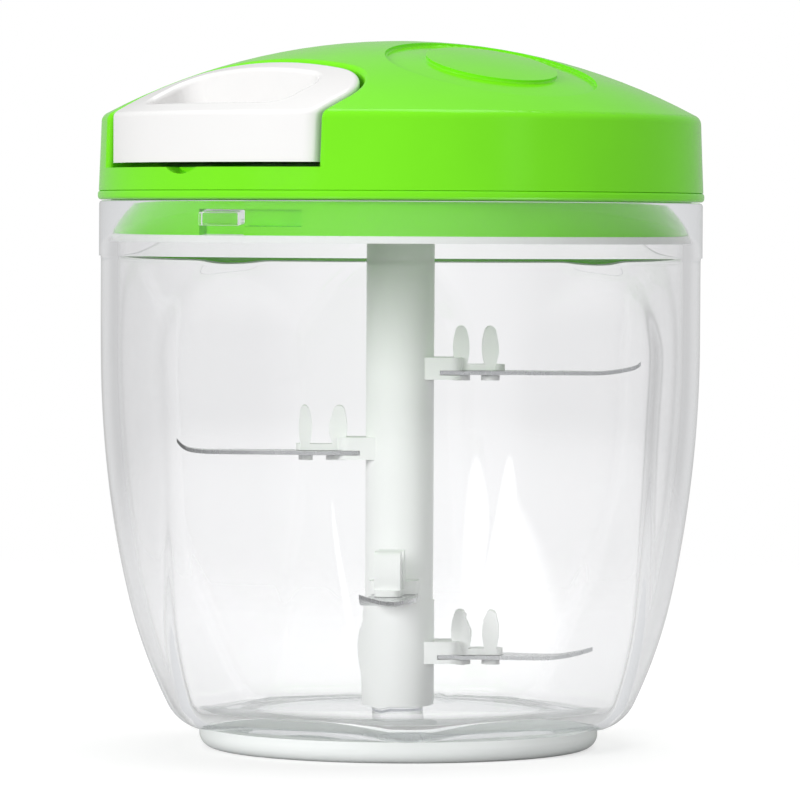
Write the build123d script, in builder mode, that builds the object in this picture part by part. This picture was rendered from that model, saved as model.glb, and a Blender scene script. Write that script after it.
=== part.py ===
from build123d import *
import os
from math import acos, asin, atan2, cos, degrees, radians, sin, sqrt

# A hand-pulled food chopper: a clear bowl with a bladed shaft, under a lid that
# holds a cord reel, its return spring and a pull handle.
# Millimetres and degrees. The spin axis is Z, the table is at zero height and
# the handle pulls out along -Y.

# Clearances
running_fit = 0.08
loose_fit = 0.3
blade_fit = 0.1

# Foot ring under the bowl
foot_step = 1.6
foot_height = 4.5
foot_width = 12.0
foot_edge = 3.0
foot_rib_width = 2.2
foot_rib_height = 2.0
foot_rib_inset = 7.0

# Outside of the bowl, from its base up to its rim, with insets from the rim
base_inset = 19.8
knee_inset = 13.3
knee_height = 9.9
flank_inset = 6.3
flank_height = 30.9
belly_step = 0.1
belly_height = 85.0
band_step = 0.3
rim_radius = 63.3
rim_band = 11.5
bowl_height = 114.5
bowl_wall = 3.6
petal_wall = 2.4
rim_wall = 2.0
rim_depth = 8.6
rim_round = 0.6

# Petals pressed into the bowl, and how deep each lies below the turned body
petal_count = 5
petal_angle = -78.0
petal_flatness = 90.0
petal_drop = 1.5
petal_waist_height = 80.0
petal_waist_depth = 1.9
petal_flank_depth = 3.0
petal_knee_depth = 4.5
petal_base_depth = 6.0

# Pivot that the blade shaft turns on
pivot_boss_radius = 5.2
pivot_boss_height = 0.9
pivot_pin_radius = 2.4
pivot_pin_length = 9.0

# Bayonet between the lid skirt and the bowl rim
lug_count = 3
lug_angle = -81.0
lug_span = 9.4
lug_height = 2.7
lug_reach = 1.9
lug_drop = 2.5
lug_turn = 12.0
lug_slack = 1.0

# Seal and lid base
seal_height = 1.4
lid_gap = 0.2
flange_step = 0.2
flange_thickness = 1.9
flange_round = 0.7
skirt_gap = 0.4
skirt_wall = 3.2
lip_wall = 2.0
lip_height = 2.0
rib_count = 6
rib_thickness = 1.6
rib_height = 3.0

# Lid cover
lid_overhang = 0.1
lid_draft = 0.6
cover_height = 31.6
cover_wall = 2.2
dome_radius = 131.0
crease_round = 2.0
recess_height = 4.6
recess_gap = 0.9
recess_round = 1.0
notch_radius = 8.0
notch_depth = 1.4
notch_length = 4.0
emblem_angle = -13.0
emblem_margin = 6.4
emblem_radius = 22.0
emblem_disc_radius = 13.6
emblem_depth = 0.8
screw_angles = (45.0, 135.0, 200.0, 340.0)
screw_circle = 48.0
screw_radius = 1.3
screw_length = 12.0
screw_head_radius = 2.8
screw_head_height = 1.8
boss_radius = 3.6

# Pull handle
handle_setback = 0.9
handle_half_width = 30.0
handle_back = 35.5
handle_corner = 11.0
handle_front_corner = 3.5
handle_lift = 1.0
handle_front_wall = 5.0
handle_back_wall = 5.5
handle_end_wall = 10.0
opening_corner = 5.0
handle_floor = 2.4
handle_round = 1.2

# Pull cord, wound flat in the reel groove
cord_radius = 0.75
cord_rise = 5.3
cord_step = 1.0
cord_half_turns = 8
winding_radius = 21.0
cord_bend_distance = 31.0
cord_bend_radius = 3.0
knot_radius = 2.2
knot_length = 3.2
knot_round = 0.9
eyelet_wall = 1.0
eyelet_flange = 1.2
eyelet_flange_thickness = 0.8

# Reel
reel_radius = 23.6
reel_flange = 1.4
reel_groove = 2.4
cup_wall = 1.8
cup_depth = 7.5
spring_cover_thickness = 1.2
spring_cover_spigot = 0.8
arbor_radius = 3.5
post_radius = 6.0
neck_radius = 10.3
neck_rise = 1.2
hub_web = 2.0
hub_cavity_radius = 5.8
hub_access_radius = 3.9
hub_shoulder = 2.9
washer_thickness = 0.6

# Return spring
spring_strip = 0.35
spring_width = 6.0
spring_step = 0.9
spring_half_turns = 17

# Drive dogs between the reel and the blade shaft
dog_count = 4
dog_span = 32.0
dog_lead = 3.0
dog_length = 4.3
dog_bore_radius = 4.0
dog_rise = 0.7

# Bearing bush in the lid base
bush_wall = 1.6
bush_flange_width = 1.6
bush_flange_thickness = 1.0
tube_wall = 2.0
tube_drop = 4.0

# Blade shaft
shaft_radius = 7.15
sleeve_radius = 7.45
sleeve_top = 31.2
spigot_radius = 5.0
spigot_length = 7.0
shaft_bore_radius = 3.2

# Blades from the top one down: height, direction, inset of the tip from the rim, and carrier
blade_layout = (
    (78.8, 45.0, 12.3, "shaft"),
    (62.0, 225.0, 13.3, "shaft"),
    (32.6, -52.0, 18.3, "shaft"),
    (19.4, 42.0, 23.3, "sleeve"),
)
blade_thickness = 0.8
blade_root = 8.4
blade_root_width = 8.0
blade_belly = 11.0
blade_tip_sweep = 2.5
blade_tip_length = 11.0
blade_tip_rise = 2.4

# Arms that hold the blades
arm_length = 13.0
arm_width = 10.0
arm_above = 2.8
arm_below = 1.0
tongue_length = 21.4
tongue_width = 5.4
tongue_thickness = 1.3
fin_places = (12.8, 18.9)
fin_foot = 2.0
fin_thickness = 3.4
fin_tip = 2.4
fin_width = 5.4
fin_height = 9.8
stud_radius = 1.2
stud_head_radius = 1.9
stud_head_height = 1.1

# Heights and radii that follow from the sizes above
shoulder_radius = rim_radius - band_step
belly_radius = shoulder_radius - belly_step
flank_radius = rim_radius - flank_inset
knee_radius = rim_radius - knee_inset
base_radius = rim_radius - base_inset
foot_radius = base_radius - foot_step
lid_radius = rim_radius + lid_overhang
flange_radius = lid_radius + flange_step
handle_radius = lid_radius - handle_setback
side_end = sqrt(lid_radius**2 - (handle_half_width + recess_gap) ** 2)
back_corner = min(handle_corner, side_end - handle_back - 2 * crease_round)
emblem_distance = lid_radius - emblem_radius - emblem_margin
ledge_z = bowl_height - rim_depth
band_z = bowl_height - rim_band
rim_bore_radius = rim_radius - rim_wall
flange_z = bowl_height + lid_gap
seam_z = flange_z + flange_thickness
skirt_z = ledge_z + seal_height
skirt_radius = rim_bore_radius - skirt_gap
apex_z = seam_z + cover_height
dome_z = apex_z - dome_radius
recess_z = seam_z + recess_height
handle_z = recess_z + handle_lift
cord_z = handle_z + cord_rise
reel_z = cord_z - reel_groove / 2 - reel_flange
cup_z = cord_z + reel_groove / 2 + reel_flange
cup_top_z = cup_z + cup_depth
spring_cover_z = cup_top_z + spring_cover_thickness
neck_z = skirt_z + neck_rise
shaft_shoulder_z = neck_z + dog_rise
shaft_top_z = shaft_shoulder_z + dog_length
web_z = shaft_top_z + loose_fit
hub_shoulder_z = reel_z - hub_shoulder
washer_z = hub_shoulder_z - loose_fit
bush_radius = neck_radius + running_fit + bush_wall
tube_top_z = reel_z - loose_fit - bush_flange_thickness
tube_z = flange_z - tube_drop
pocket_back = handle_back - recess_gap
opening_back = handle_back + handle_back_wall
eyelet_radius = cord_radius + loose_fit + eyelet_wall
lead_angle = -90 - degrees(acos(winding_radius / cord_bend_distance))
cord_tail = 2 * cord_radius
knot_y = -opening_back + knot_length

body_points = (
    (belly_radius, belly_height),
    (flank_radius, flank_height),
    (knee_radius, knee_height),
    (base_radius, foot_height),
)
petal_points = (
    (belly_radius - petal_waist_depth, petal_waist_height),
    (flank_radius - petal_flank_depth, flank_height),
    (knee_radius - petal_knee_depth, knee_height),
    (base_radius - petal_base_depth, foot_height),
)


def inset_outline(points, inset):
    """Move an outline of tangent arcs, upright at its first point, inwards by inset."""
    slope = 0.0
    moved = [(points[0][0] - inset, points[0][1])]
    for (upper_radius, upper_height), (radius, height) in zip(points, points[1:]):
        slope = 2 * atan2(upper_radius - radius, upper_height - height) - slope
        moved.append((radius - inset * cos(slope), height + inset * sin(slope)))
    return moved


def arc_chain(points):
    """Draw tangent arcs down through the points, starting straight down."""
    direction = (0, -1)
    for start, end in zip(points, points[1:]):
        arc = TangentArc(start, end, tangent=direction)
        direction = arc % 1


def tangent_point(radius, angle, along):
    """Point reached from a circle about the axis by going straight on along its tangent."""
    turn = radians(angle)
    return (radius * cos(turn) - along * sin(turn), radius * sin(turn) + along * cos(turn))


def upright_plane(angle):
    """Plane through the spin axis: its x runs out at the angle, its y runs up."""
    turn = radians(angle)
    return Plane(origin=(0, 0, 0), x_dir=(cos(turn), sin(turn), 0), z_dir=(sin(turn), -cos(turn), 0))


def bowl_form(inset, petal_inset, top_z):
    """The turned bowl body and its petals, each drawn in by its inset, up to a height."""
    body = inset_outline(body_points, inset)
    petal = inset_outline(petal_points, petal_inset)
    arch = (shoulder_radius - petal_inset, band_z - petal_drop)
    margin = bowl_wall
    with BuildPart() as form:
        with BuildSketch(Plane.XZ):
            with BuildLine():
                arc_chain(body)
                Polyline(body[-1], (0, body[-1][1]), (0, top_z), (shoulder_radius - inset, top_z), body[0])
            make_face()
        revolve(axis=Axis.Z)
        for index in range(petal_count):
            plane = upright_plane(petal_angle + index * 360 / petal_count)
            with BuildSketch(plane):
                with BuildLine():
                    arc_chain(petal)
                    rise = TangentArc(petal[0], arch, tangent=(0, 1))
                    lean = rise % 1
                    crown = rise @ 1 + lean * ((top_z + margin - arch[1]) / lean.Y)
                    low = petal[-1][1] - margin
                    Polyline(
                        arch,
                        (crown.X, crown.Y),
                        (-petal_flatness, crown.Y),
                        (-petal_flatness, low),
                        (petal[-1][0], low),
                        petal[-1],
                    )
                make_face()
            far_side = plane.from_local_coords((-petal_flatness, 0, 0))
            revolve(axis=Axis(far_side, (0, 0, 1)), mode=Mode.INTERSECT)
    return form.part


def ring(inner, outer):
    """Sketch a flat ring about the axis."""
    Circle(outer)
    Circle(inner, mode=Mode.SUBTRACT)


def ring_sectors(inner, outer, middle, span, count):
    """Equal stretches of a ring about the axis, the first centred on an angle."""
    with BuildSketch() as sectors:
        for index in range(count):
            start = middle - span / 2 + index * 360 / count
            with BuildLine():
                outside = CenterArc((0, 0), outer, start, span)
                inside = CenterArc((0, 0), inner, start, span)
                Line(outside @ 0, inside @ 0)
                Line(outside @ 1, inside @ 1)
            make_face()
    return sectors.sketch


def flat_spiral(outer, step, half_turns, end_angle):
    """Draw half circles that spiral in from the angle where the outer end lies."""
    turn = radians(end_angle)
    for index in range(half_turns):
        shift = step * (index % 2)
        centre = (-shift * cos(turn), -shift * sin(turn))
        CenterArc(centre, outer - index * step, end_angle - 180 * (index + 1), 180)


def cover_form(inset):
    """Solid of the lid cover drawn in by inset: a drafted wall under a dome, rounded outside."""
    wall_radius = lid_radius - inset
    crease_radius = lid_radius - lid_draft - inset
    sphere_radius = dome_radius - inset
    crease_z = dome_z + sqrt(sphere_radius**2 - crease_radius**2)
    with BuildPart() as form:
        with BuildSketch(upright_plane(90)) as profile:
            with BuildLine():
                TangentArc((0, dome_z + sphere_radius), (crease_radius, crease_z), tangent=(1, 0))
                Polyline(
                    (crease_radius, crease_z),
                    (wall_radius, seam_z),
                    (0, seam_z),
                    (0, dome_z + sphere_radius),
                )
            make_face()
            if inset == 0:
                fillet(profile.vertices().sort_by(Axis.X)[-2], radius=crease_round)
        revolve(axis=Axis.Z)
    return form.part


def recess_plan(grow):
    """Sketch the plan of the handle recess, open at the front, grown all round."""
    back = handle_back - grow
    front = flange_radius + 2 * cover_wall
    with BuildSketch(mode=Mode.PRIVATE) as plan:
        with Locations((0, -(back + front) / 2)):
            Rectangle(2 * (handle_half_width + grow), front - back)
        fillet(plan.vertices().group_by(Axis.Y)[-1], radius=back_corner + grow)
    add(plan.sketch)


def blade_plane(index):
    """Plane at a blade's height, with its x along the blade."""
    height, angle = blade_layout[index][:2]
    turn = radians(angle)
    return Plane(origin=(0, 0, height), x_dir=(cos(turn), sin(turn), 0), z_dir=(0, 0, 1))


def blade_arm(index):
    """One blade's arm: a slotted block, a tongue, two leaf-shaped fins and their studs."""
    plane = blade_plane(index)
    side = Plane(origin=plane.origin, x_dir=plane.x_dir, z_dir=-plane.y_dir)
    blade_top = blade_thickness / 2 + blade_fit
    block_base = -blade_thickness / 2 - arm_below
    tongue_top = blade_top + tongue_thickness
    with BuildPart() as arm:
        with BuildSketch(plane.offset(block_base)):
            with Locations((arm_length / 2, 0)):
                RectangleRounded(arm_length, arm_width, arm_width / 4)
        extrude(amount=arm_below + blade_thickness + arm_above)
        with BuildSketch(plane.offset(-blade_top)):
            with Locations(((blade_root + tongue_length) / 2 - blade_fit, 0)):
                Rectangle(tongue_length - blade_root, 2 * arm_width)
        extrude(amount=2 * blade_top, mode=Mode.SUBTRACT)
        with BuildSketch(plane.offset(blade_top)):
            with Locations((tongue_length / 2, 0)):
                RectangleRounded(tongue_length, tongue_width, tongue_width / 3)
        extrude(amount=tongue_thickness)
        for place in fin_places:
            with BuildSketch(side):
                with BuildLine():
                    fin_low = (blade_top + tongue_top) / 2
                    fin_middle = (tongue_top + fin_height) / 2
                    fin_shoulder = fin_height - fin_tip / 2
                    ThreePointArc(
                        (place - fin_foot / 2, fin_low),
                        (place - fin_thickness / 2, fin_middle),
                        (place - fin_tip / 2, fin_shoulder),
                    )
                    ThreePointArc(
                        (place - fin_tip / 2, fin_shoulder),
                        (place, fin_height),
                        (place + fin_tip / 2, fin_shoulder),
                    )
                    ThreePointArc(
                        (place + fin_tip / 2, fin_shoulder),
                        (place + fin_thickness / 2, fin_middle),
                        (place + fin_foot / 2, fin_low),
                    )
                    Line((place + fin_foot / 2, fin_low), (place - fin_foot / 2, fin_low))
                make_face()
            extrude(amount=fin_width / 2, both=True)
            with BuildSketch(plane.offset(-blade_top)):
                with Locations((place, 0)):
                    Circle(stud_radius)
            extrude(amount=2 * blade_top)
            with BuildSketch(plane.offset(-blade_top - stud_head_height)):
                with Locations((place, 0)):
                    Circle(stud_head_radius)
            extrude(amount=stud_head_height)
    return arm.part


def blade_form(index):
    """One sickle blade with its tip turned up and holes for its studs."""
    plane = blade_plane(index)
    reach = rim_radius - blade_layout[index][2]
    flat_end = reach - blade_tip_length
    middle = (blade_root + reach) / 2
    with BuildPart() as form:
        with BuildSketch(plane.offset(-blade_belly)):
            with BuildLine():
                back = ThreePointArc(
                    (blade_root, -blade_root_width / 2),
                    (middle, -blade_belly / 3),
                    (reach, -blade_tip_sweep),
                )
                edge = ThreePointArc(
                    (blade_root, blade_root_width / 2),
                    (middle, blade_belly / 2),
                    (reach, -blade_tip_sweep),
                )
                Line(back @ 0, edge @ 0)
            make_face()
        extrude(amount=2 * blade_belly)
        side = Plane(origin=plane.origin, x_dir=plane.x_dir, z_dir=-plane.y_dir)
        with BuildSketch(side):
            with BuildLine() as rise:
                run = Line((0, 0), (flat_end, 0))
                TangentArc(run @ 1, (reach + blade_thickness, blade_tip_rise), tangent=run % 1)
            trace(rise.line, line_width=blade_thickness)
        extrude(amount=2 * blade_belly, both=True, mode=Mode.INTERSECT)
        with BuildSketch(plane.offset(-blade_thickness)):
            with Locations(*[(place, 0) for place in fin_places]):
                Circle(stud_radius + blade_fit)
        extrude(amount=2 * blade_thickness, mode=Mode.SUBTRACT)
    return form.part


floor_z = inset_outline(body_points, bowl_wall)[-1][1]
pivot_z = floor_z + pivot_boss_height
shaft_z = pivot_z + loose_fit

with BuildPart() as foot_ring:
    rib_radius = foot_radius - foot_rib_inset
    with BuildSketch():
        ring(foot_radius - foot_width, foot_radius)
    extrude(amount=foot_height)
    fillet(foot_ring.edges().group_by(Axis.Z)[0].sort_by(SortBy.RADIUS)[-1], radius=foot_edge)
    with BuildSketch(Plane.XY.offset(foot_height)):
        ring(rib_radius - foot_rib_width / 2 - blade_fit, rib_radius + foot_rib_width / 2 + blade_fit)
    extrude(amount=-foot_rib_height - loose_fit, mode=Mode.SUBTRACT)

with BuildPart() as bowl:
    add(bowl_form(0, 0, band_z))
    with BuildSketch(Plane.XY.offset(band_z)):
        Circle(rim_radius)
    extrude(amount=rim_band)
    add(bowl_form(bowl_wall, petal_wall, ledge_z), mode=Mode.SUBTRACT)
    with BuildSketch(Plane.XY.offset(ledge_z)):
        Circle(rim_bore_radius)
    extrude(amount=rim_depth, mode=Mode.SUBTRACT)
    fillet(bowl.edges().group_by(Axis.Z)[-1], radius=rim_round)
    with BuildSketch(Plane.XY.offset(bowl_height - lug_drop - lug_height)):
        lug_root = rim_bore_radius + rim_wall / 2
        add(ring_sectors(rim_bore_radius - lug_reach, lug_root, lug_angle, lug_span, lug_count))
    extrude(amount=lug_height)
    with BuildSketch(Plane.XY.offset(foot_height)):
        ring(rib_radius - foot_rib_width / 2, rib_radius + foot_rib_width / 2)
    extrude(amount=-foot_rib_height)
    with BuildSketch(Plane.XY.offset(floor_z - bowl_wall / 2)):
        Circle(pivot_boss_radius)
    extrude(amount=pivot_boss_height + bowl_wall / 2)
    with BuildSketch(Plane.XY.offset(pivot_z)):
        Circle(pivot_pin_radius)
    extrude(amount=pivot_pin_length)
    pin = bowl.faces(Select.LAST)
    chamfer(pin.edges().group_by(Axis.Z)[-1], length=pivot_pin_radius / 3)

with BuildPart() as seal_ring:
    with BuildSketch(Plane.XY.offset(ledge_z)):
        ring(shoulder_radius - bowl_wall, rim_bore_radius - skirt_gap / 2)
    extrude(amount=seal_height)

with BuildPart() as lid_base:
    with BuildSketch(Plane.XY.offset(flange_z)):
        Circle(flange_radius)
    extrude(amount=flange_thickness)
    fillet(lid_base.edges(), radius=flange_round)
    with BuildSketch(Plane.XY.offset(skirt_z)):
        ring(skirt_radius - skirt_wall, skirt_radius)
    extrude(amount=flange_z - skirt_z)
    with BuildSketch(Plane.XY.offset(seam_z)):
        ring(lid_radius - cover_wall - skirt_gap - lip_wall, lid_radius - cover_wall - skirt_gap)
    extrude(amount=lip_height)
    with BuildSketch(Plane.XY.offset(flange_z - rib_height)):
        with PolarLocations((bush_radius + skirt_radius - skirt_wall) / 2, rib_count):
            Rectangle(skirt_radius - skirt_wall - bush_radius, rib_thickness)
    extrude(amount=rib_height)
    with BuildSketch(Plane.XY.offset(tube_z)):
        Circle(bush_radius + tube_wall)
    extrude(amount=tube_top_z - tube_z)
    with BuildSketch(Plane.XY.offset(tube_z)):
        Circle(bush_radius + running_fit)
    extrude(amount=tube_top_z - tube_z, mode=Mode.SUBTRACT)
    groove_radius = rim_bore_radius - lug_reach - skirt_gap
    lug_z = bowl_height - lug_drop - lug_height
    groove_span = lug_span + lug_slack
    with BuildSketch(Plane.XY.offset(skirt_z)):
        add(ring_sectors(groove_radius, rim_bore_radius, lug_angle, groove_span, lug_count))
    extrude(amount=lug_z + lug_height + skirt_gap - skirt_z, mode=Mode.SUBTRACT)
    with BuildSketch(Plane.XY.offset(lug_z - loose_fit)):
        run_angle = lug_angle + lug_turn / 2
        add(ring_sectors(groove_radius, rim_bore_radius, run_angle, groove_span + lug_turn, lug_count))
    extrude(amount=lug_height + loose_fit + skirt_gap, mode=Mode.SUBTRACT)
    for angle in screw_angles:
        with BuildSketch(Plane.XY.offset(flange_z)):
            with PolarLocations(screw_circle, 1, start_angle=angle):
                Circle(screw_radius + loose_fit)
        extrude(amount=flange_thickness, mode=Mode.SUBTRACT)

with BuildPart() as cover_insides:
    with BuildSketch(Plane.XY.offset(recess_z - cover_wall)):
        recess_plan(recess_gap + cover_wall)
    extrude(amount=apex_z - recess_z)
    for angle in screw_angles:
        with BuildSketch(Plane.XY.offset(seam_z)):
            with PolarLocations(screw_circle, 1, start_angle=angle):
                Circle(boss_radius)
        extrude(amount=cover_height)
    with BuildSketch(Plane.XY.offset(spring_cover_z + loose_fit)):
        Circle(post_radius)
    extrude(amount=apex_z - spring_cover_z)
    with BuildSketch(Plane.XY.offset(washer_z)):
        Circle(arbor_radius)
    extrude(amount=apex_z - washer_z)
    add(cover_form(cover_wall / 2), mode=Mode.INTERSECT)

with BuildPart() as emblem_groove:
    turn = radians(emblem_angle)
    rise = sqrt(dome_radius**2 - emblem_distance**2)
    normal = Vector(emblem_distance * cos(turn), emblem_distance * sin(turn), rise)
    across = Vector(-sin(turn), cos(turn), 0)
    emblem_plane = Plane(origin=(0, 0, dome_z), x_dir=across, z_dir=across.cross(normal))
    inner_angle = degrees(asin(emblem_disc_radius / dome_radius))
    outer_angle = degrees(asin(emblem_radius / dome_radius))
    with BuildSketch(emblem_plane) as groove:
        with BuildLine():
            width = outer_angle - inner_angle
            bottom = CenterArc((0, 0), dome_radius - emblem_depth, 90 - outer_angle, width)
            top = CenterArc((0, 0), dome_radius + emblem_depth, 90 - outer_angle, width)
            Line(bottom @ 0, top @ 0)
            Line(bottom @ 1, top @ 1)
        make_face()
        fillet(groove.vertices().sort_by_distance((0, 0, 0))[:2], radius=emblem_depth / 2)
    revolve(axis=Axis((0, 0, dome_z), normal))

with BuildPart() as lid_cover:
    add(cover_form(0))
    add(cover_form(cover_wall), mode=Mode.SUBTRACT)
    add(cover_insides.part)
    with BuildSketch(Plane.XY.offset(recess_z)):
        recess_plan(recess_gap)
    extrude(amount=apex_z - recess_z, mode=Mode.SUBTRACT)
    mouth = lid_cover.edges(Select.LAST).filter_by(GeomType.LINE, reverse=True)
    mouth = mouth.filter_by_position(Axis.Z, recess_z + recess_gap, apex_z)
    fillet(mouth.filter_by_position(Axis.Y, -lid_radius, -handle_back + back_corner), radius=recess_round)
    add(emblem_groove.part, mode=Mode.SUBTRACT)
    with BuildSketch(Plane.XZ.offset(lid_radius)):
        with Locations((0, recess_z - notch_depth + notch_radius)):
            Circle(notch_radius)
    extrude(amount=-notch_length, mode=Mode.SUBTRACT)
    with BuildSketch(Plane.XZ.offset(pocket_back)):
        with Locations((0, cord_z)):
            Circle(eyelet_radius + running_fit)
    extrude(amount=-2 * cover_wall, mode=Mode.SUBTRACT)
    with BuildSketch(Plane.XY.offset(washer_z)):
        Circle(screw_radius + running_fit)
    extrude(amount=screw_length, mode=Mode.SUBTRACT)
    with BuildSketch(Plane.XY.offset(cup_z)):
        with Locations((arbor_radius, 0)):
            Rectangle(2 * arbor_radius, spring_strip + 2 * blade_fit)
    extrude(amount=cup_depth, mode=Mode.SUBTRACT)
    for angle in screw_angles:
        with BuildSketch(Plane.XY.offset(seam_z)):
            with PolarLocations(screw_circle, 1, start_angle=angle):
                Circle(screw_radius + running_fit)
        extrude(amount=screw_length, mode=Mode.SUBTRACT)

with BuildPart() as pull_handle:
    with BuildSketch(Plane.XY.offset(handle_z)) as outside:
        recess_plan(0)
        Circle(handle_radius, mode=Mode.INTERSECT)
        fillet(outside.vertices().group_by(Axis.Y)[0], radius=handle_front_corner)
    extrude(amount=apex_z - handle_z)
    with Locations((0, 0, dome_z)):
        Sphere(dome_radius, mode=Mode.INTERSECT)
    with BuildSketch(Plane.XY.offset(handle_z + handle_floor)) as opening:
        opening_front = handle_radius - handle_front_wall
        opening_half_width = handle_half_width - handle_end_wall
        with Locations((0, -(opening_back + handle_radius) / 2)):
            Rectangle(2 * opening_half_width, handle_radius - opening_back)
        Circle(opening_front, mode=Mode.INTERSECT)
        opening_side = sqrt(opening_front**2 - opening_half_width**2) - opening_back
        fillet(opening.vertices(), radius=min(opening_corner, opening_side / 2.5))
    extrude(amount=apex_z - handle_z, mode=Mode.SUBTRACT)
    fillet(pull_handle.faces().filter_by(GeomType.SPHERE).edges(), radius=handle_round)
    with BuildSketch(Plane.XZ.offset(handle_back)):
        with Locations((0, cord_z)):
            Circle(cord_radius + loose_fit)
    extrude(amount=handle_back_wall, mode=Mode.SUBTRACT)
    with BuildSketch(Plane.XZ.offset(opening_back)):
        with Locations((0, cord_z)):
            Circle(knot_radius + loose_fit)
    extrude(amount=-knot_length, mode=Mode.SUBTRACT)

with BuildPart() as cord_knot:
    with BuildSketch(Plane.XZ.offset(-knot_y)):
        with Locations((0, cord_z)):
            Circle(knot_radius)
    extrude(amount=knot_length)
    fillet(cord_knot.edges().filter_by(GeomType.CIRCLE), radius=knot_round)

with BuildPart() as cord_lead:
    with BuildLine(Plane.XY.offset(cord_z)) as route:
        FilletPolyline(
            tangent_point(winding_radius, lead_angle, cord_tail),
            (0, -cord_bend_distance),
            (0, -pocket_back),
            radius=cord_bend_radius,
        )
    with BuildSketch(Plane(origin=route.line @ 0, z_dir=route.line % 0)):
        Circle(cord_radius)
    sweep(path=route.line)

with BuildPart() as pull_cord:
    with BuildSketch(Plane.XZ.offset(pocket_back)):
        with Locations((0, cord_z)):
            Circle(cord_radius)
    extrude(amount=-knot_y - pocket_back)

with BuildPart() as cord_winding:
    winding_inner = winding_radius - cord_half_turns * cord_step
    with BuildLine(Plane.XY.offset(cord_z)) as turns:
        flat_spiral(winding_radius, cord_step, cord_half_turns, lead_angle)
        for radius, tail in ((winding_radius, cord_tail), (winding_inner, -cord_tail)):
            Line(tangent_point(radius, lead_angle, 0), tangent_point(radius, lead_angle, tail))
    coil = turns.wires()[0]
    marks = [coil.position_at(step / 600) for step in range(601)]
    strands = [(one - other).length for place, one in enumerate(marks) for other in marks[place + 60 :]]
    print(f"cord_winding: least gap to itself {min(strands) - 2 * cord_radius:.2f} mm")
    with BuildSketch(Plane(origin=coil @ 0, z_dir=coil % 0)):
        Circle(cord_radius)
    sweep(path=coil)

with BuildPart() as cord_eyelet:
    wall_y = pocket_back - cover_wall
    with BuildSketch(Plane.XZ.offset(wall_y)):
        with Locations((0, cord_z)):
            Circle(eyelet_radius)
    extrude(amount=cover_wall)
    with BuildSketch(Plane.XZ.offset(wall_y)):
        with Locations((0, cord_z)):
            Circle(eyelet_radius + eyelet_flange)
    extrude(amount=-eyelet_flange_thickness)
    with BuildSketch(Plane.XZ.offset(pocket_back)):
        with Locations((0, cord_z)):
            Circle(eyelet_radius - eyelet_wall)
    extrude(amount=-cover_wall - eyelet_flange_thickness, mode=Mode.SUBTRACT)
    mouth = cord_eyelet.edges().filter_by(GeomType.CIRCLE).group_by(Axis.Y)[-1].sort_by(SortBy.RADIUS)[0]
    fillet(mouth, radius=eyelet_flange_thickness / 2)

with BuildPart() as cord_reel:
    core_radius = winding_inner - cord_radius
    with BuildSketch(Plane.XY.offset(neck_z)):
        Circle(neck_radius)
    extrude(amount=reel_z - neck_z)
    with BuildSketch(Plane.XY.offset(reel_z)):
        Circle(reel_radius)
    extrude(amount=reel_flange)
    with BuildSketch(Plane.XY.offset(reel_z)):
        Circle(core_radius)
    extrude(amount=cup_z - reel_z)
    with BuildSketch(Plane.XY.offset(cup_z - reel_flange)):
        Circle(reel_radius)
    extrude(amount=reel_flange)
    with BuildSketch(Plane.XY.offset(cup_z)):
        ring(reel_radius - cup_wall, reel_radius)
    extrude(amount=cup_depth)
    with BuildSketch(Plane.XY.offset(neck_z)):
        Circle(shaft_radius + loose_fit)
    extrude(amount=web_z - neck_z, mode=Mode.SUBTRACT)
    with BuildSketch(Plane.XY.offset(web_z)):
        Circle(hub_access_radius)
    extrude(amount=hub_web, mode=Mode.SUBTRACT)
    with BuildSketch(Plane.XY.offset(web_z + hub_web)):
        Circle(hub_cavity_radius)
    extrude(amount=hub_shoulder_z - web_z - hub_web, mode=Mode.SUBTRACT)
    with BuildSketch(Plane.XY.offset(hub_shoulder_z)):
        Circle(arbor_radius + running_fit)
    extrude(amount=cup_z - hub_shoulder_z, mode=Mode.SUBTRACT)
    with BuildSketch(Plane.XY.offset(shaft_shoulder_z + loose_fit)):
        dog_root = (shaft_radius + neck_radius) / 2
        add(ring_sectors(dog_bore_radius, dog_root, -dog_span - dog_lead, dog_span, dog_count))
    extrude(amount=web_z - shaft_shoulder_z)
    with BuildSketch(Plane.XY.offset(cup_z)):
        with Locations((-reel_radius, 0)):
            Rectangle(2 * cup_wall + 2 * loose_fit, spring_strip + 2 * blade_fit)
    extrude(amount=cup_depth, mode=Mode.SUBTRACT)

with BuildPart() as mainspring:
    spring_outer = reel_radius - cup_wall - loose_fit - spring_strip
    spring_inner = spring_outer - (spring_half_turns - 1) * spring_step
    with BuildSketch(Plane.XY.offset(cup_z + (cup_depth - spring_width) / 2)):
        with BuildLine() as strip:
            flat_spiral(spring_outer, spring_step, spring_half_turns, 180)
            Line((-spring_outer, 0), (-reel_radius + cup_wall / 2, 0))
            Line((spring_inner, 0), (arbor_radius / 2, 0))
        trace(strip.line, line_width=spring_strip)
    extrude(amount=spring_width)

with BuildPart() as spring_cover:
    with BuildSketch(Plane.XY.offset(cup_top_z)):
        ring(post_radius + loose_fit, reel_radius)
    extrude(amount=spring_cover_thickness)
    with BuildSketch(Plane.XY.offset(cup_top_z)):
        ring(reel_radius - 2 * cup_wall, reel_radius - cup_wall - blade_fit)
    extrude(amount=-spring_cover_spigot + blade_fit)

with BuildPart() as reel_washer:
    with BuildSketch(Plane.XY.offset(washer_z)):
        ring(screw_radius + running_fit, hub_cavity_radius - 2 * loose_fit)
    extrude(amount=-washer_thickness)


def screw(plane):
    """A pan-head screw whose head seats under the plane and whose shank runs up from it."""
    with BuildPart() as body:
        with BuildSketch(plane):
            Circle(screw_radius)
        extrude(amount=screw_length - loose_fit)
        with BuildSketch(plane):
            Circle(screw_head_radius)
        extrude(amount=-screw_head_height)
    return body.part


with BuildPart() as reel_screw:
    add(screw(Plane.XY.offset(washer_z - washer_thickness)))

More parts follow.
